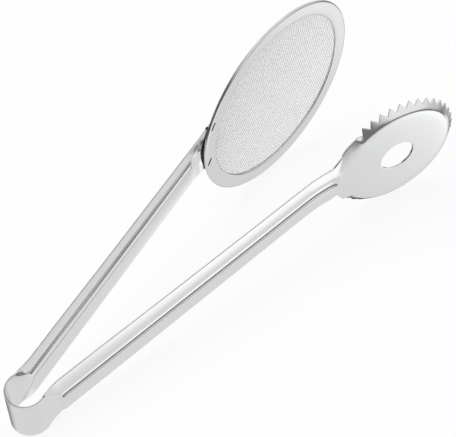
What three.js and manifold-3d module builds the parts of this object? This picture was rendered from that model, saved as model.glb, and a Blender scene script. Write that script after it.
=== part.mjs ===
// Kitchen tongs bent from one strip of sheet steel: a sprung bow joins two arms, one ends in a round
// wire strainer, the other in a toothed press with a drain hole.
// The strip is laid out with its width along Z, the arms running out along +X and opening along Y.
// The strainer arm is on the +Y side. The whole is then laid on its side, on the three points it rests on.
import * as THREE from 'three';
import { mergeGeometries, mergeVertices } from 'three/addons/utils/BufferGeometryUtils.js';
import Module from 'manifold-3d';

const wasm = await Module();
wasm.setup();

// Strip, millimetres and degrees
const sheet = 1;
const pieceGap = 0.3;
const armSpread = 16;

// Bow
const bowRadius = 9.7;
const bowWidth = 25.5;
const bowSteps = 30;
const neckStart = 3.6;
const neckEnd = 13;
const neckSteps = 5;
const bowReach = 8;

// Arms
const shoulderLevel = 7.7;
const flangeDrop = 0.7;
const armRootWidth = 27.4;
const armTipWidth = 24.4;
const armLength = 190;
const armStep = 14;
const grooveWidth = 7.2;
const grooveFloorWidth = 4.4;
const grooveDepth = 1.1;
const grooveLift = 1;
const grooveStart = 14.6;
const grooveRunOut = 1.6;
const flangeShares = [0, 0.3, 0.65];

// Strainer
const strainerReach = 211.4;
const strainerSet = -7.05;
const strainerTilt = -10.75;
const rimRadius = 55;
const rimFlangeWidth = 8;
const rimFlangeSet = -1.3;
const rimSheet = 0.5;
const rimFoldWidth = 3.5;
const hemWidth = 6.4;
const rimSides = 72;
const foldSteps = 4;
const netThickness = 0.5;
const netGrip = 2.4;
const netDepth = 6;
const netPitch = 5.4;
const netBar = 1.3;
const netSides = 40;
const netRings = 4;
const strainerGrooveEnd = 150.6;
const tongueWidth = 20;
const tongueSet = 3.9;
const tongueLap = 6.4;
const tongueTaper = 2;

// Press
const pressReach = 221.5;
const pressSet = 18.4;
const pressTilt = 14.6;
const plateRadius = 30.2;
const toothRadius = 34.9;
const toothRise = 4;
const toothCount = 40;
const toothRootShare = 0.5;
const smoothRise = 2.2;
const smoothArc = [130, 214];
const drainRadius = 9.25;
const pressGrooveEnd = 189.2;
const plateLap = 7;
const lapInset = 0.1;

// Finishes
const stripSteel = { color: 0xd9dadb, roughness: 0.25, metalness: 1 };
const rimSteel = { color: 0xe2e3e4, roughness: 0.22, metalness: 1 };
const wireSteel = { color: 0xc9cbcd, roughness: 0.4, metalness: 1 };

const toRadians = (degrees) => THREE.MathUtils.degToRad(degrees);
const mix = (from, to, share) => from + (to - from) * share;
const ramp = (value, from, to) => THREE.MathUtils.smoothstep(value, from, to);

// Closed solids

function solidGeometry(positions, triangles) {
  let volume = 0;
  const [a, b, c] = [new THREE.Vector3(), new THREE.Vector3(), new THREE.Vector3()];
  for (let i = 0; i < triangles.length; i += 3) {
    a.fromArray(positions, triangles[i] * 3);
    b.fromArray(positions, triangles[i + 1] * 3);
    c.fromArray(positions, triangles[i + 2] * 3);
    volume += a.dot(b.cross(c));
  }
  if (volume < 0) {
    triangles.reverse();
  }
  const geometry = new THREE.BufferGeometry();
  geometry.setAttribute('position', new THREE.Float32BufferAttribute(positions, 3));
  geometry.setIndex(triangles);
  geometry.computeVertexNormals();
  return geometry;
}

// A bent sheet: rows of points, each with its outer and its inner face. Rows may run round into a ring.
function sheetSolid(rows, closed = false) {
  const across = rows[0].length;
  const positions = rows.flatMap((row) => row.flatMap(({ outer, inner }) => [...outer, ...inner]));
  const index = (i, j, side) => ((i % rows.length) * across + j) * 2 + side;
  const triangles = [];
  const quad = (p, q, r, s) => triangles.push(p, q, r, p, r, s);
  const strips = closed ? rows.length : rows.length - 1;
  for (let i = 0; i < strips; i += 1) {
    for (let j = 0; j < across - 1; j += 1) {
      quad(index(i, j, 0), index(i + 1, j, 0), index(i + 1, j + 1, 0), index(i, j + 1, 0));
      quad(index(i, j, 1), index(i, j + 1, 1), index(i + 1, j + 1, 1), index(i + 1, j, 1));
    }
    quad(index(i, 0, 0), index(i, 0, 1), index(i + 1, 0, 1), index(i + 1, 0, 0));
    const last = across - 1;
    quad(index(i, last, 0), index(i + 1, last, 0), index(i + 1, last, 1), index(i, last, 1));
  }
  if (!closed) {
    const end = rows.length - 1;
    for (let j = 0; j < across - 1; j += 1) {
      quad(index(0, j, 0), index(0, j + 1, 0), index(0, j + 1, 1), index(0, j, 1));
      quad(index(end, j, 0), index(end, j, 1), index(end, j + 1, 1), index(end, j + 1, 0));
    }
  }
  return solidGeometry(positions, triangles);
}

function toSolid(geometry) {
  const bare = geometry.clone();
  bare.deleteAttribute('normal');
  bare.deleteAttribute('uv');
  const merged = mergeVertices(bare);
  const mesh = new wasm.Mesh({
    numProp: 3,
    vertProperties: new Float32Array(merged.attributes.position.array),
    triVerts: new Uint32Array(merged.index.array),
  });
  return new wasm.Manifold(mesh);
}

function fromSolid(solid) {
  const { vertProperties, triVerts } = solid.getMesh();
  return solidGeometry(Array.from(vertProperties), Array.from(triVerts));
}

// The strip's section, the same on both arms. reach runs along the arm, level is the distance from the
// hinge line, on the outside of the strip.

function stripWidth(reach) {
  const armWidth = mix(armRootWidth, armTipWidth, reach / armLength);
  return mix(bowWidth, armWidth, ramp(reach, neckStart, neckEnd));
}

// Leaves the bow's circle and runs out level at the shoulders
function neckLevel(reach) {
  if (reach >= neckEnd) {
    return shoulderLevel;
  }
  const share = (reach - neckStart) / (neckEnd - neckStart);
  const startLevel = Math.sqrt(bowRadius ** 2 - neckStart ** 2);
  const startSlope = (-neckStart / startLevel) * (neckEnd - neckStart);
  const rest = 1 - share;
  return (1 + 2 * share) * rest ** 2 * startLevel + share * rest ** 2 * startSlope
    + share ** 2 * (3 - 2 * share) * shoulderLevel;
}

// Points across the strip, from its lower edge to its upper one: the flanges turn in a little from the
// shoulders, and the groove between them is pressed inwards
function sectionPoints(reach, grooveEnd, flangeEnd) {
  const half = stripWidth(reach) / 2;
  const flange = ramp(reach, neckStart, neckEnd) * (1 - ramp(reach, flangeEnd.from, flangeEnd.to));
  const groove = ramp(reach, grooveStart, grooveStart + grooveRunOut)
    * (1 - ramp(reach, grooveEnd - grooveRunOut, grooveEnd));
  const side = (sign) => {
    const shoulder = grooveLift + (sign * grooveWidth) / 2;
    return flangeShares.map((share) => ({
      z: mix(sign * half, shoulder, share),
      drop: flange * flangeDrop * (1 - share) ** 2,
    })).concat(
      { z: shoulder, drop: 0 },
      { z: grooveLift + (sign * grooveFloorWidth) / 2, drop: groove * grooveDepth },
    );
  };
  return [...side(-1), ...side(1).reverse()];
}

function stripRow(reach, level, grooveEnd, flangeEnd, inset = 0) {
  return sectionPoints(reach, grooveEnd, flangeEnd).map(({ z, drop }) => ({
    outer: [reach, level - drop - inset, z],
    inner: [reach, level - drop - sheet + inset, z],
  }));
}

function reaches(from, to, marks) {
  const inside = marks.filter((mark) => mark > from && mark < to);
  const stops = [from, ...inside, to].sort((a, b) => a - b);
  return stops.flatMap((stop, i) => {
    if (i === stops.length - 1) {
      return [stop];
    }
    const steps = Math.max(1, Math.round((stops[i + 1] - stop) / armStep));
    return Array.from({ length: steps }, (_, step) => mix(stop, stops[i + 1], step / steps));
  });
}

const grooveMarks = (grooveEnd) => [
  mix(bowReach, neckEnd, 0.5),
  neckEnd,
  grooveStart,
  grooveStart + grooveRunOut,
  grooveEnd - grooveRunOut,
  grooveEnd,
];
const evenFlange = { from: armLength, to: armLength + armStep };

// Bow: the neck of one arm, the round of the spring and the neck of the other

function springBow() {
  const leaveAngle = Math.acos(neckStart / bowRadius);
  const lean = toRadians(armSpread / 2);
  const neck = Array.from({ length: neckSteps }, (_, step) => {
    const reach = mix(bowReach, neckStart, step / neckSteps);
    return stripRow(reach, neckLevel(reach), strainerGrooveEnd, evenFlange);
  });
  const turned = (row, sign) => row.map(({ outer, inner }) => {
    const turn = ([x, y, z]) => [
      x * Math.cos(lean) - y * Math.sin(lean),
      sign * (x * Math.sin(lean) + y * Math.cos(lean)),
      z,
    ];
    return { outer: turn(outer), inner: turn(inner) };
  });
  const section = sectionPoints(neckStart, strainerGrooveEnd, evenFlange);
  const round = Array.from({ length: bowSteps + 1 }, (_, step) => {
    const angle = mix(leaveAngle + lean, 2 * Math.PI - leaveAngle - lean, step / bowSteps);
    const at = (radius, z) => [radius * Math.cos(angle), radius * Math.sin(angle), z];
    return section.map(({ z }) => ({ outer: at(bowRadius, z), inner: at(bowRadius - sheet, z) }));
  });
  const upper = neck.map((row) => turned(row, 1));
  const lower = neck.map((row) => turned(row, -1)).reverse();
  return sheetSolid([...upper, ...round, ...lower]);
}

// Strainer arm: its plate bends towards the strainer's plane and ends in a tongue that dips to the hem

const tiltSlope = Math.tan(toRadians(-strainerTilt));
const hemBack = rimFlangeSet + 2 * rimSheet + netThickness + 2 * pieceGap;
const tongueBack = hemBack + pieceGap + sheet;

function strainerPoint(along, back) {
  const tilt = toRadians(strainerTilt);
  return {
    reach: strainerReach + along * Math.cos(tilt) - back * Math.sin(tilt),
    level: strainerSet + along * Math.sin(tilt) + back * Math.cos(tilt),
  };
}

function strainerArm() {
  const lapStart = strainerPoint(-rimRadius - tongueTaper, tongueSet);
  const lapEnd = strainerPoint(-rimRadius + tongueLap, tongueBack);
  const bend = (2 * (shoulderLevel - lapStart.level)) / tiltSlope;
  const bendStart = lapStart.reach - bend;
  const levelAt = (reach) => {
    if (reach < neckEnd) {
      return neckLevel(reach);
    }
    if (reach < bendStart) {
      return shoulderLevel;
    }
    if (reach < lapStart.reach) {
      return shoulderLevel - (tiltSlope * (reach - bendStart) ** 2) / (2 * bend);
    }
    return mix(lapStart.level, lapEnd.level, (reach - lapStart.reach) / (lapEnd.reach - lapStart.reach));
  };
  const flangeEnd = { from: bendStart, to: lapStart.reach };
  const marks = [...grooveMarks(strainerGrooveEnd), bendStart, mix(bendStart, lapStart.reach, 0.5)];
  const rows = reaches(bowReach + pieceGap, lapStart.reach, marks)
    .map((reach) => stripRow(reach, levelAt(reach), strainerGrooveEnd, flangeEnd));
  const narrowed = [lapStart.reach + tongueTaper, lapEnd.reach].map((reach) => {
    const narrow = tongueWidth / stripWidth(reach);
    return stripRow(reach, levelAt(reach), strainerGrooveEnd, flangeEnd).map(({ outer, inner }) => ({
      outer: [outer[0], outer[1], outer[2] * narrow],
      inner: [inner[0], inner[1], inner[2] * narrow],
    }));
  });
  return sheetSolid([...rows, ...narrowed]);
}

// Rim: a flat flange folded back round its edge, and a hem behind that holds the net

function strainerRim() {
  const inside = rimRadius - rimFlangeWidth;
  const front = rimFlangeSet;
  const foldBack = front + 2 * rimSheet;
  const pocket = rimRadius - rimFoldWidth;
  const fold = Array.from({ length: foldSteps + 1 }, (_, step) => {
    const angle = mix(-Math.PI / 2, Math.PI / 2, step / foldSteps);
    return [rimRadius - rimSheet + rimSheet * Math.cos(angle), front + rimSheet + rimSheet * Math.sin(angle)];
  });
  const outline = [
    [inside, front],
    ...fold,
    [pocket, foldBack],
    [pocket, hemBack],
    [rimRadius - hemWidth, hemBack],
    [rimRadius - hemWidth, hemBack - rimSheet],
    [pocket - rimSheet, hemBack - rimSheet],
    [pocket - rimSheet, front + rimSheet],
    [inside, front + rimSheet],
    [inside, front],
  ];
  const lathe = new THREE.LatheGeometry(outline.map(([r, y]) => new THREE.Vector2(r, y)), rimSides);
  return fromSolid(toSolid(lathe));
}

// Net: a shallow dome with square openings, its flat edge held in the hem

function strainerNet() {
  const edgeRadius = rimRadius - rimFoldWidth - rimSheet - pieceGap;
  const domeRadius = edgeRadius - netGrip;
  const face = rimFlangeSet + rimSheet + pieceGap;
  const rise = (share) => netDepth * (1 - share ** 2);
  const shares = Array.from({ length: netRings + 1 }, (_, ring) => ring / netRings);
  const back = shares.map((share) => new THREE.Vector2(domeRadius * share, face + netThickness + rise(share)));
  const frontSide = shares.map((share) => new THREE.Vector2(domeRadius * share, face + rise(share)));
  const outline = [
    ...frontSide,
    new THREE.Vector2(edgeRadius, face),
    new THREE.Vector2(edgeRadius, face + netThickness),
    ...back.reverse(),
  ];
  const dome = toSolid(new THREE.LatheGeometry(outline, netSides));
  const opening = netPitch - netBar;
  const cut = netDepth + netThickness + 2 * pieceGap;
  const reach = Math.ceil(domeRadius / netPitch);
  const holes = [];
  for (let i = -reach; i <= reach; i += 1) {
    for (let k = -reach; k <= reach; k += 1) {
      const [x, z] = [i * netPitch, k * netPitch];
      if (Math.hypot(Math.abs(x) + opening / 2, Math.abs(z) + opening / 2) < domeRadius - netBar) {
        holes.push(new THREE.BoxGeometry(opening, cut, opening).translate(x, face + cut / 2 - pieceGap, z));
      }
    }
  }
  return fromSolid(dome.subtract(toSolid(mergeGeometries(holes))));
}

// Press arm: the strip runs on into a round plate with a drain hole and a flared, toothed edge

function pressJaw() {
  const step = 180 / toothCount;
  const wall = Math.atan2(toothRise, toothRadius - plateRadius);
  const creaseInset = sheet * Math.tan(wall / 2);
  const armHalfAngle = THREE.MathUtils.radToDeg(Math.asin(stripWidth(armLength) / 2 / toothRadius));
  const rows = Array.from({ length: 2 * toothCount }, (_, i) => {
    const degrees = i * step;
    const angle = toRadians(degrees);
    const smooth = degrees > smoothArc[0] && degrees < smoothArc[1];
    const atArm = Math.abs(degrees - 180) < armHalfAngle + step;
    const share = smooth || i % 2 === 0 ? 1 : toothRootShare;
    const smoothEdge = atArm ? flangeDrop : smoothRise;
    const edge = { radius: mix(plateRadius, toothRadius, share), drop: smooth ? smoothEdge : toothRise * share };
    const at = (radius, y) => [radius * Math.cos(angle), y, radius * Math.sin(angle)];
    return [
      { outer: at(drainRadius, 0), inner: at(drainRadius, -sheet) },
      { outer: at(plateRadius, 0), inner: at(plateRadius - creaseInset, -sheet) },
      {
        outer: at(edge.radius, -edge.drop),
        inner: at(edge.radius - sheet * Math.sin(wall), -edge.drop - sheet * Math.cos(wall)),
      },
    ];
  });
  return sheetSolid(rows, true)
    .rotateZ(toRadians(pressTilt))
    .translate(pressReach, pressSet, 0);
}

function pressArm() {
  const slope = Math.tan(toRadians(pressTilt));
  const plateLevel = (reach) => pressSet + (reach - pressReach) * slope;
  const bendEnd = pressReach - plateRadius * Math.cos(toRadians(pressTilt));
  const bend = (2 * (plateLevel(bendEnd) - shoulderLevel)) / slope;
  const bendStart = bendEnd - bend;
  const levelAt = (reach) => {
    if (reach < neckEnd) {
      return neckLevel(reach);
    }
    if (reach < bendStart) {
      return shoulderLevel;
    }
    return reach < bendEnd ? shoulderLevel + (slope * (reach - bendStart) ** 2) / (2 * bend) : plateLevel(reach);
  };
  const bendMarks = [0, 0.25, 0.5, 0.75, 1].map((share) => mix(bendStart, bendEnd, share));
  const rows = reaches(bowReach + pieceGap, bendEnd, [...grooveMarks(pressGrooveEnd), ...bendMarks])
    .map((reach) => stripRow(reach, levelAt(reach), pressGrooveEnd, evenFlange));
  const lap = stripRow(bendEnd + plateLap, levelAt(bendEnd + plateLap), pressGrooveEnd, evenFlange, lapInset);
  const arm = toSolid(sheetSolid([...rows, lap]));
  return fromSolid(arm.add(toSolid(pressJaw())));
}

// Assembly

function piece(name, geometry, finish) {
  const mesh = new THREE.Mesh(geometry, new THREE.MeshStandardMaterial(finish));
  mesh.name = name;
  return mesh;
}

function mirrored(geometry) {
  const flipped = geometry.clone().scale(1, -1, 1);
  return solidGeometry(Array.from(flipped.attributes.position.array), Array.from(flipped.index.array));
}

const bow = piece('spring_bow', springBow(), stripSteel);

const strainer = new THREE.Group();
strainer.position.set(strainerReach, strainerSet, 0);
strainer.rotation.z = toRadians(strainerTilt);
const rim = piece('strainer_rim', strainerRim(), rimSteel);
strainer.add(rim, piece('strainer_net', strainerNet(), wireSteel));

const strainerSide = new THREE.Group();
strainerSide.rotation.z = toRadians(armSpread / 2);
strainerSide.add(piece('strainer_arm', strainerArm(), stripSteel), strainer);

const pressSide = new THREE.Group();
pressSide.rotation.z = toRadians(-armSpread / 2);
const press = piece('press_arm', mirrored(pressArm()), stripSteel);
pressSide.add(press);

const strip = new THREE.Group();
strip.add(bow, strainerSide, pressSide);

// Rest: the tongs lie on the lowest points of the bow, the rim and the press, with the strainer's axis
// square to X and the origin under the middle of their box

function worldPoints(mesh) {
  const { position } = mesh.geometry.attributes;
  return Array.from({ length: position.count }, (_, i) => (
    new THREE.Vector3().fromBufferAttribute(position, i).applyMatrix4(mesh.matrixWorld)
  ));
}

function layDown(group) {
  group.updateMatrixWorld(true);
  const clouds = [rim, press, bow].map(worldPoints);
  const lowest = (points, up) => points.reduce((low, p) => (p.dot(up) < low.dot(up) ? p : low));
  const up = new THREE.Vector3(0, 0, 1);
  for (let round = 0; round < bowSteps; round += 1) {
    const [a, b, c] = clouds.map((points) => lowest(points, up));
    up.copy(b).sub(a).cross(c.clone().sub(a)).normalize();
    if (up.z < 0) {
      up.negate();
    }
  }
  const axis = new THREE.Vector3(0, 1, 0).transformDirection(strainer.matrixWorld);
  const across = axis.addScaledVector(up, -axis.dot(up)).normalize();
  const along = new THREE.Vector3().crossVectors(across, up);
  group.quaternion.setFromRotationMatrix(new THREE.Matrix4().makeBasis(along, across, up).transpose());
  group.updateMatrixWorld(true);
  const box = new THREE.Box3().setFromObject(group, true);
  const centre = box.getCenter(new THREE.Vector3());
  group.position.set(-centre.x, -centre.y, -box.min.z);
}

layDown(strip);
const tongs = new THREE.Group();
tongs.add(strip);

export default tongs;
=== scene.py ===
# Kitchen tongs: one pressed strip of steel, a rimmed wire strainer and a toothed press
import math

import bpy
import numpy as np
from mathutils import Matrix, Vector


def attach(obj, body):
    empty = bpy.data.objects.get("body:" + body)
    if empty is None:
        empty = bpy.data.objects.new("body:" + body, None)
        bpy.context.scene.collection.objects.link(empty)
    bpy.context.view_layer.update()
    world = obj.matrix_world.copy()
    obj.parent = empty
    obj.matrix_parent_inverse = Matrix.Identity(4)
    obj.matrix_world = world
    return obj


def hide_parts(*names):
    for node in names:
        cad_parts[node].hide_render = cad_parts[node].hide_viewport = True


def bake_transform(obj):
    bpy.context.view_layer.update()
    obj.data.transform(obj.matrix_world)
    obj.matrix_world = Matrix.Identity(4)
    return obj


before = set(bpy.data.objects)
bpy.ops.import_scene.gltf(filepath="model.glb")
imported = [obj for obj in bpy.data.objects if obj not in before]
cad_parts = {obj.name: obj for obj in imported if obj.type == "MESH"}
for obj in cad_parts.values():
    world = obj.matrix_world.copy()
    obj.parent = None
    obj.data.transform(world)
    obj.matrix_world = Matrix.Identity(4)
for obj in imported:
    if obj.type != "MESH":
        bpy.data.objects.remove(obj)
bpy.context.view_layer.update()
bpy.ops.object.select_all(action="DESELECT")

# Everything is modelled in millimetres in the strip's own frame, X along the tongs, Y the way they open
# and Z across the strip, with the middle of the bow at the origin. This lays it on its side.
stance = {
    "bow": (-0.125344, 0.010768, 0.015277),
    "along": (0.989563, 0.003061, 0.144072),
    "open": (-0.047532, 0.950756, 0.306275),
    "across": (-0.136039, -0.309926, 0.940978),
}
lay = Matrix([stance["along"], stance["open"], stance["across"]]).transposed().to_4x4()
layDown = Matrix.Translation(stance["bow"]) @ lay @ Matrix.Scale(0.001, 4)


def ramp(value, low, high):
    share = np.clip((value - low) / (high - low), 0, 1)
    return share * share * (3 - 2 * share)


def mix(a, b, share):
    return a + (b - a) * share


def readPoints(obj):
    points = np.empty(len(obj.data.vertices) * 3)
    obj.data.vertices.foreach_get("co", points)
    return points.reshape(-1, 3)


def writePoints(obj, points):
    obj.data.vertices.foreach_set("co", np.asarray(points, float).ravel())
    obj.data.update()


def pickVertices(obj, mask):
    bpy.ops.object.mode_set(mode="OBJECT")
    picked = np.asarray(mask, bool)
    edges = np.empty(len(obj.data.edges) * 2, int)
    obj.data.edges.foreach_get("vertices", edges)
    obj.data.vertices.foreach_set("select", picked)
    obj.data.edges.foreach_set("select", picked[edges.reshape(-1, 2)].all(axis=1))
    obj.data.polygons.foreach_set("select", np.zeros(len(obj.data.polygons), bool))
    bpy.ops.object.mode_set(mode="EDIT")


def applyAll(obj):
    bpy.context.view_layer.objects.active = obj
    for modifier in list(obj.modifiers):
        bpy.ops.object.modifier_apply(modifier=modifier.name)


def finishPiece(obj, name, place, smoothAngle=38):
    obj.name = obj.data.name = name
    obj.data.transform(place)
    obj.data.update()
    bpy.ops.object.select_all(action="DESELECT")
    obj.select_set(True)
    bpy.context.view_layer.objects.active = obj
    bpy.ops.object.shade_smooth_by_angle(angle=math.radians(smoothAngle))
    obj.select_set(False)
    print(name, len(obj.data.polygons), "faces")
    return obj


# Pressed strip: press plate, press arm, bow and strainer arm in one sheet. Its flanges rise from the neck
# between two reaches, each given at the groove's shoulder and at the sheet's edge. Runs are from and to,
# columns from, to and step.
strip = {
    "sheet": 1.0,
    "edgeRound": 0.16,
    "edgeAngle": 58,
    "lean": 8.0,
    "bowRadius": 9.7,
    "bowWidth": 25.5,
    "bowSteps": 96,
    "neckStart": 3.6,
    "neckEnd": 14.0,
    "neckWidens": 11.0,
    "neckStep": 0.43,
    "shoulder": 7.7,
    "rootWidth": 27.4,
    "tipWidth": 24.4,
    "armLength": 190.0,
    "turnIn": 0.45,
    "turnPower": 1.8,
    "turnLimit": 1.6,
    "topTrim": 0.5,
    "trimRun": (30.0, 90.0),
    "topShoulder": 4.6,
    "lowShoulder": -2.6,
    "topColumn": 5.6,
    "lowColumn": 3.6,
    "grooveDepth": 1.0,
    "grooveRunOut": 1.1,
    "troughPower": 2.7,
    "topRise": ((10.2, 3.0), (11.6, 8.3)),
    "wedgeRise": ((12.0, 0.5), (13.4, 6.0)),
    "lowRise": (12.5, 14.6),
    "pressGrooveEnd": 189.0,
    "strainerGrooveEnd": 150.6,
    "pressColumns": ((182.0, 166.0, -1.2), (160.0, 18.0, -9.0)),
    "strainerColumns": ((24.0, 122.0, 9.0), (126.0, 148.0, 3.0), (148.5, 152.2, 0.45), (153.0, 158.6, 0.8),
                        (158.9, 164.7, 0.25)),
}
press = {
    "reach": 221.5,
    "set": 18.4,
    "tilt": 14.6,
    "plate": 30.2,
    "rings": (9.7, 12, 16, 20, 24, 27, 28.4, 29.1, 29.5, 29.8, 30.1, 30.4, 30.7, 31.2, 31.7, 32.2, 32.7, 33.2,
              33.6, 34.0, 34.4, 34.9),
    "crease": 1.0,
    "tip": 34.9,
    "root": 32.4,
    "fanStart": 1.0,
    "smoothEdge": 35.4,
    "smoothStep": 1.8,
    "stepTurn": 3.2,
    "smoothTurn": 18.0,
    "wallSlope": 0.851,
    "smoothSlope": 0.44,
    "slopeRun": (-0.5, 6.0),
    "slopeBack": (358.0, 362.0),
    "wallBase": -40.0,
    "wallRun": (-37.0, -29.5),
    "hole": 9.25,
    "firstTip": 124.2,
    "toothPitch": 9.1,
    "teeth": 30,
    "raysPerTooth": 16,
    "rays": 640,
    "armFrom": 152.5,
    "armTo": 199.6,
    "armMargin": 0.2,
    "topFlare": 3.6,
    "lowTaper": 0.5,
    "flareRun": (-40.5, -31.0),
    "flangeEnd": (186.0, 192.0),
    "cornerBlend": 12.0,
    "cornerRun": (-46.0, -32.0),
    "cornerLeast": 0.01,
    "shoulderPush": 60.0,
    "pushRun": (-28.0, -14.0),
    "squareSteps": 8,
    "squareMove": 0.9,
    "squareShrink": 0.62,
    "squarePitch": 0.62,
    "squareFrom": -35.8,
}
strainer = {
    "reach": 211.4,
    "set": -7.05,
    "tilt": -10.75,
    "tongueWidth": 20.0,
    "narrowRun": (162.0, 164.6),
    "topFlangeEnd": (163.0, 168.0),
    "lowFlangeEnd": (159.2, 160.1),
    "cornerStart": 160.0,
    "cornerStretch": 2.6,
    "cornerRun": (2.5, 10.5),
    "bendStart": 150.0,
    "bendEnd": 159.2,
    "bendFade": (2.4, 6.0),
    "dipRadius": 53.6,
    "dipShift": 14.0,
    "dipRun": (-7.0, 8.0),
    "dipSlope": 0.3,
    "dipRound": 0.5,
    # Where the tongue's faces under the rim get painted shade: a near-black crescent, its radius, breadth and
    # thinning
    "hiddenLow": 51.6,
    "hiddenTop": 46.9,
    "hiddenRun": (2.0, 6.8),
    "hiddenCorner": 7.0,
    "hiddenFall": 0.3,
    "creviceDepth": 6.0,
    "crescentLow": 1.0,
    "crescentTop": 2.3,
    "crescentRun": (-2.0, 6.0),
    "crescentThin": 0.55,
    "thinRun": (7.0, 12.0),
}


def toothArc():
    top = press["firstTip"] + press["toothPitch"] / 2
    return top - press["teeth"] * press["toothPitch"], top


def rayAngles():
    low, top = toothArc()
    toothRays = press["teeth"] * press["raysPerTooth"]
    smoothRays = press["rays"] - toothRays
    toothed = low + (top - low) * np.arange(toothRays) / toothRays
    smooth = top + (low + 360 - top) * np.arange(smoothRays) / smoothRays
    return np.radians(np.concatenate([toothed, smooth]))


def toothShare(degrees):
    low, top = toothArc()
    turn = (degrees - low) % 360
    inTeeth = turn < top - low
    phase = (turn / press["toothPitch"]) % 1
    return np.where(inTeeth, 1 - 2 * np.abs(phase - 0.5), 1.0), inTeeth


def halfWidths(reach, pastPlate):
    half = mix(strip["rootWidth"], strip["tipWidth"], reach / strip["armLength"]) / 2
    half = mix(strip["bowWidth"] / 2, half, ramp(reach, strip["neckStart"], strip["neckWidens"]))
    trim = strip["topTrim"] * ramp(reach, *strip["trimRun"])
    return half - trim + press["topFlare"] * pastPlate ** 2, half - press["lowTaper"] * pastPlate


def floorLevel(reach):
    start, end = strip["neckStart"], strip["neckEnd"]
    share = np.clip((reach - start) / (end - start), 0, 1)
    top = math.sqrt(strip["bowRadius"] ** 2 - start ** 2)
    slope = -start / top * (end - start)
    low = strip["shoulder"] - strip["grooveDepth"]
    rest = 1 - share
    return (1 + 2 * share) * rest ** 2 * top + share * rest ** 2 * slope + share ** 2 * (3 - 2 * share) * low


# How far the pressed flanges stand out from the groove's floor, and how they turn in again at the edges
def pressedOut(reach, v, half, grooveEnd, topEnd, lowEnd, wedged=False):
    top, low = strip["topShoulder"], strip["lowShoulder"]
    middle = (top + low) / 2
    side = np.clip((v - middle) / (top - middle), -1, 1)
    above = np.clip((v - top) / (half - top), 0, strip["turnLimit"])
    below = np.clip((low - v) / (half + low), 0, strip["turnLimit"])
    trough = np.abs(side) ** strip["troughPower"]
    topWall, lowWall = np.where(side > 0, trough, 0), np.where(side < 0, trough, 0)
    startTop = ramp(reach, *(mix(*ends, above) for ends in strip["topRise"]))
    lowRise = [mix(*ends, below) for ends in strip["wedgeRise"]] if wedged else strip["lowRise"]
    startLow = ramp(reach, *lowRise)
    closed = ramp(reach, grooveEnd - strip["grooveRunOut"], grooveEnd)
    raised = strip["grooveDepth"] * np.maximum(np.maximum(topWall * startTop, lowWall * startLow), closed)
    topTurn = above ** strip["turnPower"] * startTop * (1 - ramp(reach, *topEnd))
    lowTurn = below ** strip["turnPower"] * startLow * (1 - ramp(reach, *lowEnd))
    return raised - strip["turnIn"] * (topTurn + lowTurn)


def bendLevel(reach, start, end, slope):
    inside = np.clip(reach - start, 0, end - start)
    past = np.maximum(reach - end, 0)
    return slope * inside ** 2 / (2 * (end - start)) + slope * past, slope * inside / (end - start)


def smoothLeast(a, b, blend):
    near = np.maximum(blend - np.abs(a - b), 0) / blend
    return np.minimum(a, b) - near ** 2 * blend / 4


def softRamp(distance, blend):
    return (distance + np.sqrt(distance ** 2 + blend ** 2)) / 2


def intoSide(reach, level, v, side):
    lean = math.radians(strip["lean"])
    return np.stack([
        reach * math.cos(lean) - level * math.sin(lean),
        side * (reach * math.sin(lean) + level * math.cos(lean)),
        v,
    ], axis=-1)


# Along the flat strip: the reach of the plate's crease, the press side's neck, the angle at which the bow is
# left and the length of its arc
def stripSpan():
    bendEnd = press["reach"] - press["plate"] * math.cos(math.radians(press["tilt"]))
    neckAt = -press["plate"] - (bendEnd - strip["neckStart"])
    leave = math.acos(strip["neckStart"] / strip["bowRadius"]) + math.radians(strip["lean"])
    return bendEnd, neckAt, leave, strip["bowRadius"] * (2 * math.pi - 2 * leave)


# Columns keep their place across the groove and spread with the flanges
def spreadColumns(vRef, topHalf, lowHalf):
    top, low = strip["topColumn"], strip["lowColumn"]
    refTop = press["tip"] * math.sin(math.radians(180 - press["armFrom"]))
    refLow = press["tip"] * math.sin(math.radians(press["armTo"] - 180))
    upper = top + (vRef - top) * (topHalf - top) / (refTop - top)
    lower = -low + (vRef + low) * (lowHalf - low) / (refLow - low)
    return np.where(vRef > top, upper, np.where(vRef < -low, lower, vRef))


# The plate's outer rings fan out to the teeth and to the smooth edge beside them
def edgeRadius(rho, theta):
    share, inTeeth = toothShare(theta)
    turn = theta % 360
    pastTeeth = turn - toothArc()[1]
    root, step = press["root"], press["smoothStep"]
    smooth = root + step * np.clip(pastTeeth / press["stepTurn"], 0, 1) \
        + (press["smoothEdge"] - root - step) \
        * np.clip((pastTeeth - press["stepTurn"]) / press["smoothTurn"], 0, 1) ** 0.5
    edge = np.where(inTeeth, mix(root, press["tip"], share), smooth)
    start = press["plate"] + press["fanStart"]
    out = np.clip((rho - start) / (press["tip"] - start), 0, 1)
    inArm = (turn > press["armFrom"] - press["armMargin"]) & (turn < press["armTo"] + press["armMargin"])
    return np.where((rho > start) & ~inArm, mix(start, edge, out), rho)


# How deep the wall lies beyond the crease, which runs from the flange's shoulder into the plate's circle
def wallDepth(x, v, turn):
    low, top = toothArc()
    wide = np.hypot(x, v) - press["plate"]
    shoulderGap = np.maximum(v - strip["topShoulder"], strip["lowShoulder"] - v) \
        + press["shoulderPush"] * ramp(x, *press["pushRun"])
    blend = press["cornerBlend"] * ramp(x, *press["cornerRun"]) + press["cornerLeast"]
    beyond = smoothLeast(shoulderGap, wide, blend)
    slope = mix(press["wallSlope"], press["smoothSlope"], ramp(turn - top, *press["slopeRun"]))
    slope = mix(slope, press["wallSlope"], ramp(turn, *(low + back for back in press["slopeBack"])))
    return slope * (softRamp(beyond, press["crease"]) - softRamp(press["wallBase"], press["crease"]))


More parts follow.
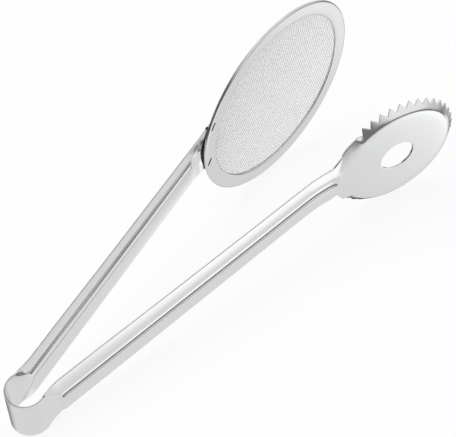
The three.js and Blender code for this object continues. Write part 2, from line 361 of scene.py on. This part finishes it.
def shapePress(along, vRef, v, onPlate, half):
    tilt = math.radians(press["tilt"])
    bendEnd = stripSpan()[0]
    rho, theta = np.hypot(along, vRef), np.degrees(np.arctan2(vRef, along))
    newRho = edgeRadius(rho, theta)
    x = np.where(onPlate, along * newRho / rho, along)
    v = np.where(onPlate, v * newRho / rho, v)
    reachArm = bendEnd + x + press["plate"]
    armOut = pressedOut(reachArm, v, half, strip["pressGrooveEnd"], press["flangeEnd"], press["flangeEnd"]) \
        - strip["grooveDepth"]
    out = mix(armOut, -wallDepth(x, v, theta % 360), ramp(x, *press["wallRun"]))
    bendRise = press["set"] - press["plate"] * math.sin(tilt) - strip["shoulder"]
    bendStart = bendEnd - 2 * bendRise / math.tan(tilt)
    rise, riseSlope = bendLevel(reachArm, bendStart, bendEnd, math.tan(tilt))
    onFlat = x > -press["plate"]
    angle = np.where(onFlat, tilt, np.arctan(riseSlope))
    reach = np.where(onFlat, press["reach"] + x * math.cos(tilt), reachArm)
    levelArm = floorLevel(reachArm) + strip["grooveDepth"] + rise
    level = np.where(onFlat, press["set"] + x * math.sin(tilt), levelArm)
    return intoSide(reach - out * np.sin(angle), level + out * np.cos(angle), v, -1)


# The arm bends towards the rim and dips under it, but its upper corner runs on straight
def shapeStrainer(reach, v, half):
    corner = strainer["cornerStart"]
    stretch = mix(1, strainer["cornerStretch"], ramp(v, *strainer["cornerRun"]))
    reach = np.where(reach > corner, corner + (reach - corner) * stretch, reach)
    out = pressedOut(reach, v, half, strip["strainerGrooveEnd"], strainer["topFlangeEnd"],
                     strainer["lowFlangeEnd"], wedged=True)
    narrowed = ramp(reach, *strainer["narrowRun"]) * (v < 0)
    across = v * mix(1, strainer["tongueWidth"] / 2 / half, narrowed)
    slope = math.tan(math.radians(strainer["tilt"]))
    down = bendLevel(reach, strainer["bendStart"], strainer["bendEnd"], slope)[0]
    down = down * (1 - ramp(v, *strainer["bendFade"]))
    underRim = strainer["dipRadius"] - strainer["dipShift"] * ramp(v, *strainer["dipRun"]) \
        - np.hypot(strainer["reach"] - reach, across)
    level = floorLevel(reach) + down - strainer["dipSlope"] * softRamp(underRim, strainer["dipRound"])
    return intoSide(reach, level + out, across, 1)


def shapeStrip(flat):
    along, vRef, onPlate = flat[:, 0], flat[:, 1], flat[:, 2] > 0.5
    bendEnd, neckAt, leave, arc = stripSpan()
    farNeck = neckAt - arc
    onPress = along > neckAt
    onBow = (along <= neckAt) & (along >= farNeck)
    reachPress = bendEnd + along + press["plate"]
    reachStrainer = strip["neckStart"] + farNeck - along
    reach = np.where(onPress, reachPress, np.where(onBow, strip["neckStart"], reachStrainer))
    pastPlate = np.where(onPress, ramp(along, *press["flareRun"]), 0)
    topHalf, lowHalf = halfWidths(reach, pastPlate)
    v = np.where(onPlate, vRef, spreadColumns(vRef, topHalf, lowHalf))
    half = np.maximum(topHalf, 1)
    pressPoint = shapePress(along, vRef, v, onPlate, half)
    radius = strip["bowRadius"]
    bowAngle = 2 * math.pi - leave - (neckAt - along) / radius
    bowPoint = np.stack([radius * np.cos(bowAngle), radius * np.sin(bowAngle), v], axis=-1)
    strainerPoint = shapeStrainer(reach, v, half)
    return np.where(onPress[:, None], pressPoint, np.where(onBow[:, None], bowPoint, strainerPoint))


# How near the ring's middle the tongue goes out of sight under the rim
def hiddenRadius(v):
    radius = mix(strainer["hiddenLow"], strainer["hiddenTop"], ramp(v, *strainer["hiddenRun"]))
    return radius - strainer["hiddenFall"] * np.maximum(v - strainer["hiddenCorner"], 0)


# A point as reach, level and place across on the strainer side
def sideOf(point):
    return Matrix.Rotation(math.radians(-strip["lean"]), 4, "Z") @ point


# Whether a face of the tongue lies in the crevice under the rim, where it gets painted shade: a near-black
# finish standing in for the shadow there
def inPaintedCreviceShade(face):
    reach, level, v = sideOf(face.center)
    if reach <= strip["strainerGrooveEnd"] or level <= 0 or face.normal.y >= 0:
        return False
    under = math.hypot(reach - strainer["reach"], v) - hiddenRadius(v)
    breadth = mix(strainer["crescentLow"], strainer["crescentTop"], ramp(v, *strainer["crescentRun"]))
    thinned = 1 - strainer["crescentThin"] * ramp(v, *strainer["thinRun"])
    return -strainer["creviceDepth"] < under < breadth * thinned


# Places of the columns along the flat strip, from the plate to the tongue's end
def stations():
    bendEnd, neckAt, _, arc = stripSpan()
    neck, step, steps = strip["neckStart"], strip["neckStep"], strip["bowSteps"]
    pressRuns = (*strip["pressColumns"], (16.5, neck - 0.01, -step))
    strainerRuns = ((neck + step, 16.6, step), *strip["strainerColumns"])
    onPress = [-press["plate"] - (bendEnd - reach) for run in pressRuns for reach in np.arange(*run)]
    onBow = [neckAt - arc * i / steps for i in range(1, steps + 1)]
    onStrainer = [neckAt - arc - (reach - neck) for run in strainerRuns for reach in np.arange(*run)]
    return onPress + [neckAt] + onBow + onStrainer


def growStrip():
    bpy.ops.mesh.primitive_circle_add(vertices=press["rays"], radius=press["hole"], fill_type="NOTHING")
    sheet = bpy.context.object
    angles = rayAngles()
    hole = np.stack([np.cos(angles), np.sin(angles), np.zeros_like(angles)], axis=-1) * press["hole"]
    writePoints(sheet, hole)
    bpy.ops.object.mode_set(mode="EDIT")
    bpy.ops.mesh.select_all(action="SELECT")
    radius = press["hole"]
    for ring in press["rings"]:
        bpy.ops.mesh.extrude_edges_move()
        bpy.ops.transform.resize(value=(ring / radius, ring / radius, 1), center_override=(0, 0, 0))
        radius = ring
    bpy.ops.object.mode_set(mode="OBJECT")
    plateCount = len(sheet.data.vertices)
    points = readPoints(sheet)
    turn = np.degrees(np.arctan2(points[:, 1], points[:, 0])) % 360
    outer = np.hypot(points[:, 0], points[:, 1]) > press["tip"] - 0.01
    pickVertices(sheet, outer & (turn > press["armFrom"]) & (turn < press["armTo"]))
    # the plate's round edge is squared off step by step, then the arm grows out of it
    for step in range(press["squareSteps"]):
        at = press["squareFrom"] - press["squarePitch"] * step
        shrink = press["squareShrink"] if step < press["squareSteps"] - 1 else 0
        bpy.ops.mesh.extrude_edges_move(TRANSFORM_OT_translate={"value": (-press["squareMove"], 0, 0)})
        bpy.ops.transform.resize(value=(shrink, 1, 1), center_override=(at, 0, 0))
    for station in stations():
        bpy.ops.mesh.extrude_edges_move(TRANSFORM_OT_translate={"value": (station - at, 0, 0)})
        at = station
    bpy.ops.object.mode_set(mode="OBJECT")
    flat = readPoints(sheet)
    flat[:, 2] = np.arange(len(flat)) < plateCount
    writePoints(sheet, shapeStrip(flat))
    return sheet


sheet = growStrip()
bpy.ops.object.mode_set(mode="EDIT")
bpy.ops.mesh.select_all(action="SELECT")
bpy.ops.mesh.normals_make_consistent(inside=False)
bpy.ops.object.mode_set(mode="OBJECT")
middle = min(sheet.data.polygons, key=lambda face: (face.center - Vector((-strip["bowRadius"], 0, 0))).length)
if middle.normal.x > 0:
    sheet.data.flip_normals()
sheet.data.materials.append(None)
sheet.data.materials.append(None)
thick = sheet.modifiers.new("sheet", "SOLIDIFY")
thick.thickness, thick.offset, thick.use_even_offset = strip["sheet"], -1, True
thick.material_offset_rim = 1
rounding = sheet.modifiers.new("edge", "BEVEL")
rounding.width, rounding.segments = strip["edgeRound"], 2
rounding.limit_method, rounding.angle_limit = "ANGLE", math.radians(strip["edgeAngle"])
applyAll(sheet)
# Painted shade: the tongue's faces in the crevice under the rim get a near-black finish
sheet.data.materials.append(None)
for face in sheet.data.polygons:
    if inPaintedCreviceShade(face):
        face.material_index = 2
pressedStrip = finishPiece(sheet, "pressed_strip", layDown)
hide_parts("spring_bow", "strainer_arm", "press_arm")

# Rim
rim = {
    "inside": 47.0,
    "radius": 55.0,
    "front": -1.3,
    "sheet": 0.5,
    "flange": ((49.0, 0.0), (51.5, -0.03), (52.7, 0.02)),
    "foldWidth": 3.5,
    "foldDepth": 1.6,
    "foldRound": 1.5,
    "foldPower": 0.6,
    "foldSteps": 22,
    "hemWidth": 6.4,
    "hemBack": 0.8,
    "lip": 0.8,
    "lipRound": (0.8, 0.45),
    "lipSteps": 9,
    "bend": 0.15,
    "corner": 0.1,
    "sides": 288,
    "slits": [((-47.2, 22.9), (-49.8, 18.8)), ((-50.9, -1.6), (-53.2, -5.6))],
    "slitWidth": 1.2,
    "slitDepth": 0.4,
}


def ringPlace():
    lean, tilt = math.radians(strip["lean"]), math.radians(strainer["tilt"])
    side = Matrix.Rotation(lean, 4, "Z") @ Matrix.Translation((strainer["reach"], strainer["set"], 0))
    return side @ Matrix.Rotation(tilt, 4, "Z")


# Spun up from its section, whose points are a radius and a depth along the ring's outward axis
def growRing(section, sides):
    radius, depth = section[0]
    bpy.ops.mesh.primitive_circle_add(vertices=sides, radius=radius, fill_type="NOTHING",
                                      location=(0, 0, depth))
    bpy.ops.object.transform_apply(location=True)
    ring = bpy.context.object
    bpy.ops.object.mode_set(mode="EDIT")
    bpy.ops.mesh.select_all(action="SELECT")
    for nextRadius, nextDepth in section[1:]:
        wider = nextRadius / radius
        bpy.ops.mesh.extrude_edges_move(TRANSFORM_OT_translate={"value": (0, 0, nextDepth - depth)})
        bpy.ops.transform.resize(value=(wider, wider, 1), center_override=(0, 0, nextDepth))
        radius, depth = nextRadius, nextDepth
    bpy.ops.mesh.select_all(action="SELECT")
    bpy.ops.mesh.remove_doubles(threshold=0.001)
    bpy.ops.mesh.normals_make_consistent(inside=False)
    bpy.ops.object.mode_set(mode="OBJECT")
    return ring


def rimSection():
    inside, outside, front, sheet = rim["inside"], rim["radius"], rim["front"], rim["sheet"]
    pocket, hem = outside - rim["foldWidth"], outside - rim["hemWidth"]
    foldBack, back = front + rim["foldDepth"], rim["hemBack"]
    half, bend, corner = rim["foldDepth"] / 2, rim["bend"], rim["corner"]
    flange = [(radius, front + rise) for radius, rise in rim["flange"]]
    fold = []
    for a in np.linspace(-math.pi / 2, math.pi / 2, rim["foldSteps"]):
        rounded = rim["foldRound"] * (1 - abs(math.cos(a)) ** rim["foldPower"])
        fold.append((outside - rounded, front + half + half * math.sin(a)))
    wide, deep = rim["lipRound"]
    lip = [(inside + wide - wide * math.sin(a), front + deep - deep * math.cos(a))
           for a in np.linspace(math.pi / 2, 0, rim["lipSteps"])]
    lipTop = front + sheet + rim["lip"]
    return [
        *flange, *fold, (pocket + bend, foldBack), (pocket, foldBack + bend), (pocket, back - bend),
        (pocket - bend, back), (hem + bend, back), (hem, back - bend), (hem, back - sheet + corner),
        (hem + corner, back - sheet), (pocket - sheet, back - sheet), (pocket - sheet, front + sheet),
        (inside + sheet, front + sheet), (inside + sheet - corner, lipTop), (inside + corner, lipTop),
        (inside, lipTop - corner), *lip, flange[0],
    ]


# A short slit in the flange's front, between two places given along and across. The cut faces, which lie
# within the unit cube of the cutting bar and behind the front, get painted shade: the near-black finish for
# the shadowed pocket.
def cutSlit(ring, start, end):
    middle, run = (Vector(start) + Vector(end)) / 2, Vector(end) - Vector(start)
    bpy.ops.object.select_all(action="DESELECT")
    bpy.ops.mesh.primitive_cube_add(size=1, location=(middle.x, -middle.y, rim["front"]),
                                    rotation=(0, 0, math.atan2(-run.y, run.x)))
    bar = bpy.context.object
    bar.scale = (run.length, rim["slitWidth"], 2 * rim["slitDepth"])
    bpy.context.view_layer.update()
    cut = ring.modifiers.new("slit", "BOOLEAN")
    cut.operation, cut.solver, cut.object = "DIFFERENCE", "EXACT", bar
    applyAll(ring)
    inBar = bar.matrix_world.inverted()
    for face in ring.data.polygons:
        spot = inBar @ face.center
        if max(abs(c) for c in spot) < 0.51 and face.center.z > rim["front"] + 0.05:
            face.material_index = 1
    bpy.data.objects.remove(bar)


ringTurn = ringPlace() @ Matrix.Rotation(math.radians(-90), 4, "X")
ring = growRing(rimSection(), rim["sides"])
ring.data.materials.append(None)
ring.data.materials.append(None)
# Painted shade: the slits' cut faces get the near-black finish
for slit in rim["slits"]:
    cutSlit(ring, *slit)
strainerRim = finishPiece(ring, "rolled_rim", layDown @ ringTurn, 40)
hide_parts("strainer_rim")
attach(strainerRim, "strainer_side")

# Net: woven wires, one piece each way
net = {
    "pitch": 1.17,
    "wire": 0.29,
    "sway": 0.42,
    "shortest": 4,
    "reach": 50.4,
    "dome": 48.25,
    "depth": 6.0,
    "turn": 16.0,
}


def netDepth(x, z):
    share = np.minimum(np.hypot(x, z) / net["dome"], 1)
    return net["depth"] * (1 - share ** 2)


def weaveWires(name, across):
    curve = bpy.data.curves.new(name, "CURVE")
    curve.dimensions = "3D"
    curve.bevel_depth = net["wire"] / 2
    curve.bevel_resolution = 0
    pitch, turn = net["pitch"], math.radians(net["turn"])
    count = int(net["reach"] / pitch)
    for wire in range(-count, count + 1):
        offset = wire * pitch
        halfSteps = int(math.sqrt(max(net["reach"] ** 2 - offset ** 2, 0)) / (pitch / 2))
        if halfSteps < net["shortest"]:
            continue
        steps = np.arange(-halfSteps, halfSteps + 1)
        run = steps * pitch / 2
        shift = wire + (1 if across else 0)
        over = np.cos(math.pi * steps / 2 + math.pi * shift) * net["wire"] * net["sway"]
        beside = np.full_like(run, offset)
        a, b = (beside, run) if across else (run, beside)
        x, z = a * math.cos(turn) - b * math.sin(turn), a * math.sin(turn) + b * math.cos(turn)
        points = np.stack([x, netDepth(x, z) + over, z, np.ones_like(x)], axis=-1)
        spline = curve.splines.new("POLY")
        spline.points.add(len(points) - 1)
        spline.points.foreach_set("co", points.ravel())
    wires = bpy.data.objects.new(name, curve)
    bpy.context.scene.collection.objects.link(wires)
    bpy.ops.object.select_all(action="DESELECT")
    wires.select_set(True)
    bpy.context.view_layer.objects.active = wires
    bpy.ops.object.convert(target="MESH")
    wires = bpy.context.object
    finishPiece(wires, name, layDown @ ringPlace(), 100)
    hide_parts("strainer_net")
    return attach(wires, "strainer_side")


warp = weaveWires("net_warp_wires", False)
weft = weaveWires("net_weft_wires", True)


# Finishes
def newNode(tree, kind, **settings):
    node = tree.nodes.new(kind)
    for name, value in settings.items():
        setattr(node, name, value)
    return node


# Fine drawing lines along one direction and soft polishing clouds: a mask for roughness and a height
def polishGroup():
    group = bpy.data.node_groups.new("polishMarks", "ShaderNodeTree")
    face = group.interface
    face.new_socket("Vector", in_out="INPUT", socket_type="NodeSocketVector")
    for name, value in (("Line Scale", 900.0), ("Line Stretch", 0.02), ("Cloud Scale", 30.0)):
        face.new_socket(name, in_out="INPUT", socket_type="NodeSocketFloat").default_value = value
    face.new_socket("Lines", in_out="OUTPUT", socket_type="NodeSocketFloat")
    face.new_socket("Clouds", in_out="OUTPUT", socket_type="NodeSocketFloat")
    enter, leave = group.nodes.new("NodeGroupInput"), group.nodes.new("NodeGroupOutput")
    stretch = newNode(group, "ShaderNodeCombineXYZ")
    stretch.inputs[1].default_value = stretch.inputs[2].default_value = 1
    squeeze = newNode(group, "ShaderNodeVectorMath", operation="MULTIPLY")
    lines, clouds = newNode(group, "ShaderNodeTexNoise"), newNode(group, "ShaderNodeTexNoise")
    lines.inputs["Detail"].default_value = clouds.inputs["Detail"].default_value = 3
    group.links.new(enter.outputs["Line Stretch"], stretch.inputs[0])
    group.links.new(enter.outputs["Vector"], squeeze.inputs[0])
    group.links.new(stretch.outputs[0], squeeze.inputs[1])
    group.links.new(squeeze.outputs[0], lines.inputs["Vector"])
    group.links.new(enter.outputs["Line Scale"], lines.inputs["Scale"])
    group.links.new(enter.outputs["Vector"], clouds.inputs["Vector"])
    group.links.new(enter.outputs["Cloud Scale"], clouds.inputs["Scale"])
    group.links.new(lines.outputs["Fac"], leave.inputs["Lines"])
    group.links.new(clouds.outputs["Fac"], leave.inputs["Clouds"])
    return group


polishMarks = polishGroup()


def steel(name, colour, roughness, spread, grain, turn=(0, 0, 0), lineScale=900.0, metallic=1.0):
    material = bpy.data.materials.new(name)
    material.use_nodes = True
    tree = material.node_tree
    shader = tree.nodes["Principled BSDF"]
    shader.inputs["Metallic"].default_value = metallic
    place = newNode(tree, "ShaderNodeTexCoord")
    mapping = newNode(tree, "ShaderNodeMapping")
    mapping.inputs["Rotation"].default_value = [math.radians(a) for a in turn]
    marks = newNode(tree, "ShaderNodeGroup", node_tree=polishMarks)
    marks.inputs["Line Scale"].default_value = lineScale
    rough = newNode(tree, "ShaderNodeMapRange")
    rough.inputs["To Min"].default_value = roughness - spread
    rough.inputs["To Max"].default_value = roughness + spread
    tint = newNode(tree, "ShaderNodeMix", data_type="RGBA")
    tint.inputs["A"].default_value = (*[c * 0.96 for c in colour], 1)
    tint.inputs["B"].default_value = (*colour, 1)
    bump = newNode(tree, "ShaderNodeBump")
    bump.inputs["Strength"].default_value = grain
    bump.inputs["Distance"].default_value = 0.00004
    tree.links.new(place.outputs["Object"], mapping.inputs["Vector"])
    tree.links.new(mapping.outputs[0], marks.inputs["Vector"])
    tree.links.new(marks.outputs["Clouds"], rough.inputs["Value"])
    tree.links.new(rough.outputs[0], shader.inputs["Roughness"])
    tree.links.new(marks.outputs["Clouds"], tint.inputs["Factor"])
    tree.links.new(tint.outputs["Result"], shader.inputs["Base Color"])
    tree.links.new(marks.outputs["Lines"], bump.inputs["Height"])
    tree.links.new(bump.outputs[0], shader.inputs["Normal"])
    return material


stripSteel = steel("polished_strip_steel", (0.76, 0.765, 0.77), 0.17, 0.04, 0.25, (0, -8, 0))
cutEdgeSteel = steel("sheared_edge_steel", (0.7, 0.7, 0.71), 0.2, 0.05, 0.4)
rimSteel = steel("spun_rim_steel", (0.72, 0.72, 0.725), 0.16, 0.04, 0.15)
# Painted light: the wires are paler and less metallic than the strip's steel so they catch the lamp as white,
# and the warp is painted lighter than the weft to stand in for how the two directions catch the reflection
warpSteel = steel("painted_bright_warp_steel", (0.97, 0.97, 0.975), 0.3, 0.05, 0.0, metallic=0.25)
weftSteel = steel("painted_dimmer_weft_steel", (0.93, 0.93, 0.935), 0.3, 0.05, 0.0, metallic=0.5)
# Near-black painted shade, for the crevice under the rim and the slits' cut faces
paintedShadeSteel = steel("painted_shade_steel", (0.03, 0.03, 0.03), 0.5, 0.05, 0.2)
for slot, finish in enumerate((stripSteel, cutEdgeSteel, paintedShadeSteel)):
    pressedStrip.data.materials[slot] = finish
for slot, finish in enumerate((rimSteel, paintedShadeSteel)):
    strainerRim.data.materials[slot] = finish
warp.data.materials.append(warpSteel)
weft.data.materials.append(weftSteel)
# the arm's end would mirror the rim's dark back
strainerRim.visible_glossy = False
print("finishes placed")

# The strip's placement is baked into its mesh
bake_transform(pressedStrip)

# Floor, lamp and studio. The wall's grey changes at these heights, from 0 below to 1 above.
studio = {
    "floorSize": 6.0,
    "paper": 0.9,
    "paperGlow": 0.88,
    "ground": 0.86,
    "gap": 0.2,
    "sky": 0.9,
    "groundEnd": 0.125,
    "gapStart": 0.18,
    "gapEnd": 0.44,
    "skyStart": 0.52,
    "lampHeight": 1.2,
    "lampSize": 1.4,
    "lampPower": 9.0,
    "fill": 0.75,
}
bpy.ops.mesh.primitive_plane_add(size=studio["floorSize"], location=(0, 0, 0))
floor = bpy.context.object
floor.name = "floor"
floor.visible_glossy = False
paper = bpy.data.materials.new("floor_paper")
paper.use_nodes = True
tree = paper.node_tree
shader = tree.nodes["Principled BSDF"]
grey = studio["paper"]
shader.inputs["Base Color"].default_value = (grey, grey, grey, 1)
shader.inputs["Roughness"].default_value = 0.9
glow = newNode(tree, "ShaderNodeEmission")
glow.inputs["Strength"].default_value = 1.0
path = newNode(tree, "ShaderNodeLightPath")
blendPaper = newNode(tree, "ShaderNodeMixShader")
share = newNode(tree, "ShaderNodeMath", operation="MULTIPLY")
share.inputs[1].default_value = studio["paperGlow"]
tree.links.new(path.outputs["Is Camera Ray"], share.inputs[0])
tree.links.new(share.outputs[0], blendPaper.inputs[0])
tree.links.new(shader.outputs[0], blendPaper.inputs[1])
tree.links.new(glow.outputs[0], blendPaper.inputs[2])
tree.links.new(blendPaper.outputs[0], tree.nodes["Material Output"].inputs["Surface"])
floor.data.materials.append(paper)


def addLamp(name, place, size, power):
    bpy.ops.object.light_add(type="AREA", location=place)
    lamp = bpy.context.object
    lamp.name = name
    lamp.data.size, lamp.data.energy = size, power
    lamp.rotation_euler = (Vector((0, 0, 0.03)) - Vector(place)).to_track_quat("-Z", "Y").to_euler()
    lamp.visible_glossy = False
    return lamp


addLamp("overhead_softbox", (-0.2, 0.1, studio["lampHeight"]), studio["lampSize"], studio["lampPower"])

world = bpy.data.worlds.new("studio")
bpy.context.scene.world = world
world.use_nodes = True
tree = world.node_tree
tree.nodes.clear()


# A soft-edged round card on the studio's wall, seen in the steel
def cardGroup():
    group = bpy.data.node_groups.new("softCard", "ShaderNodeTree")
    face = group.interface
    face.new_socket("Direction", in_out="INPUT", socket_type="NodeSocketVector")
    face.new_socket("Axis", in_out="INPUT", socket_type="NodeSocketVector")
    face.new_socket("Edge", in_out="INPUT", socket_type="NodeSocketFloat")
    face.new_socket("Core", in_out="INPUT", socket_type="NodeSocketFloat")
    face.new_socket("Mask", in_out="OUTPUT", socket_type="NodeSocketFloat")
    enter, leave = group.nodes.new("NodeGroupInput"), group.nodes.new("NodeGroupOutput")
    dot = newNode(group, "ShaderNodeVectorMath", operation="DOT_PRODUCT")
    soft = newNode(group, "ShaderNodeMapRange", interpolation_type="SMOOTHSTEP")
    group.links.new(enter.outputs["Direction"], dot.inputs[0])
    group.links.new(enter.outputs["Axis"], dot.inputs[1])
    group.links.new(dot.outputs["Value"], soft.inputs["Value"])
    group.links.new(enter.outputs["Edge"], soft.inputs["From Min"])
    group.links.new(enter.outputs["Core"], soft.inputs["From Max"])
    group.links.new(soft.outputs[0], leave.inputs["Mask"])
    return group


softCard = cardGroup()
direction = newNode(tree, "ShaderNodeTexCoord")
split = newNode(tree, "ShaderNodeSeparateXYZ")
height = newNode(tree, "ShaderNodeMapRange")
height.inputs["From Min"].default_value = -1
wallRamp = newNode(tree, "ShaderNodeValToRGB")
stops = [(0.0, studio["ground"]), (studio["groundEnd"], studio["ground"]), (studio["gapStart"], studio["gap"]),
         (studio["gapEnd"], studio["gap"]), (studio["skyStart"], studio["sky"]), (1.0, studio["sky"])]
while len(wallRamp.color_ramp.elements) < len(stops):
    wallRamp.color_ramp.elements.new(0.5)
for element, (place, value) in zip(wallRamp.color_ramp.elements, stops):
    element.position, element.color = place, (value, value, value, 1)
tree.links.new(direction.outputs["Generated"], split.inputs[0])
tree.links.new(split.outputs["Z"], height.inputs["Value"])
tree.links.new(height.outputs[0], wallRamp.inputs["Fac"])
# Each card: where it hangs, the angles of its edge and core, and its grey
cards = [
    ((0.45, 0.40, -0.80), 15, 8, 0.08),     # dark patch behind the strainer arm
    ((0.70, -0.62, -0.10), 26, 15, 0.72),   # paler wall beyond the press
    ((0.22, -0.97, 0.12), 36, 22, 1.05),    # window side
    ((0.82, -0.12, -0.55), 18, 10, 0.5),    # grey wall past the strainer
    ((0.70, 0.44, -0.56), 13, 8, 1.15),     # light end of the grey wall
    ((0.70, -0.21, -0.68), 9, 5, 1.2),      # bright brink of the table
    ((0.42, -0.46, -0.79), 14, 8, 1.35),    # bright spot of the table
    ((-0.70, 0.60, -0.38), 28, 16, 0.01),   # black flag, low
    ((-0.86, 0.42, 0.10), 28, 18, 0.01),    # black flag, middle
    ((-0.66, 0.22, 0.72), 30, 20, 0.02),    # black flag, high
    ((-0.66, -0.74, -0.12), 18, 8, 0.2),    # dark corner towards the bow
    ((-0.87, -0.40, 0.22), 28, 19, 0.02),   # black flag by the camera
    ((0.33, 0.42, 0.84), 22, 14, 1.3),      # overhead window
    ((0.31, 0.10, 0.94), 9, 3, 0.1),        # the window's frame
    ((0.14, 0.13, 0.98), 8, 5, 0.08),       # the frame's near corner
]
lastColour = wallRamp.outputs["Color"]
for axis, edge, core, value in cards:
    card = newNode(tree, "ShaderNodeGroup", node_tree=softCard)
    card.inputs["Axis"].default_value = Vector(axis).normalized()
    card.inputs["Edge"].default_value = math.cos(math.radians(edge))
    card.inputs["Core"].default_value = math.cos(math.radians(core))
    over = newNode(tree, "ShaderNodeMix", data_type="RGBA")
    over.inputs["B"].default_value = (value, value, value, 1)
    tree.links.new(direction.outputs["Generated"], card.inputs["Direction"])
    tree.links.new(card.outputs["Mask"], over.inputs["Factor"])
    tree.links.new(lastColour, over.inputs["A"])
    lastColour = over.outputs["Result"]
seen, fill, white = (newNode(tree, "ShaderNodeBackground") for _ in range(3))
fill.inputs["Strength"].default_value = studio["fill"]
tree.links.new(lastColour, seen.inputs["Color"])
path = newNode(tree, "ShaderNodeLightPath")
glossy, camera = newNode(tree, "ShaderNodeMixShader"), newNode(tree, "ShaderNodeMixShader")
worldOut = newNode(tree, "ShaderNodeOutputWorld")
tree.links.new(path.outputs["Is Glossy Ray"], glossy.inputs[0])
tree.links.new(fill.outputs[0], glossy.inputs[1])
tree.links.new(seen.outputs[0], glossy.inputs[2])
tree.links.new(path.outputs["Is Camera Ray"], camera.inputs[0])
tree.links.new(glossy.outputs[0], camera.inputs[1])
tree.links.new(white.outputs[0], camera.inputs[2])
tree.links.new(camera.outputs[0], worldOut.inputs["Surface"])
print("studio lit")

# Camera, in the strip's own frame
shot = {
    "place": (-214.61, -300.12, 639.59),
    "target": (134.78, -6.89, 0.0),
    "roll": -1.59,
    "lens": 127.97,
    "sensor": 36,
    "clip": (0.05, 20),
}
bpy.ops.object.camera_add()
camera = bpy.context.object
camera.data.lens, camera.data.sensor_width = shot["lens"], shot["sensor"]
camera.data.clip_start, camera.data.clip_end = shot["clip"]
back = (Vector(shot["place"]) - Vector(shot["target"])).normalized()
right = Vector((0, 0, 1)).cross(back).normalized()
up = back.cross(right)
turn = math.radians(shot["roll"])
right, up = right * math.cos(turn) + up * math.sin(turn), up * math.cos(turn) - right * math.sin(turn)
axes = [lay.to_3x3() @ v for v in (right, up, back)]
camera.matrix_world = Matrix.Translation(layDown @ Vector(shot["place"])) @ Matrix(axes).transposed().to_4x4()
scene = bpy.context.scene
scene.camera = camera
scene.view_settings.view_transform = "Standard"
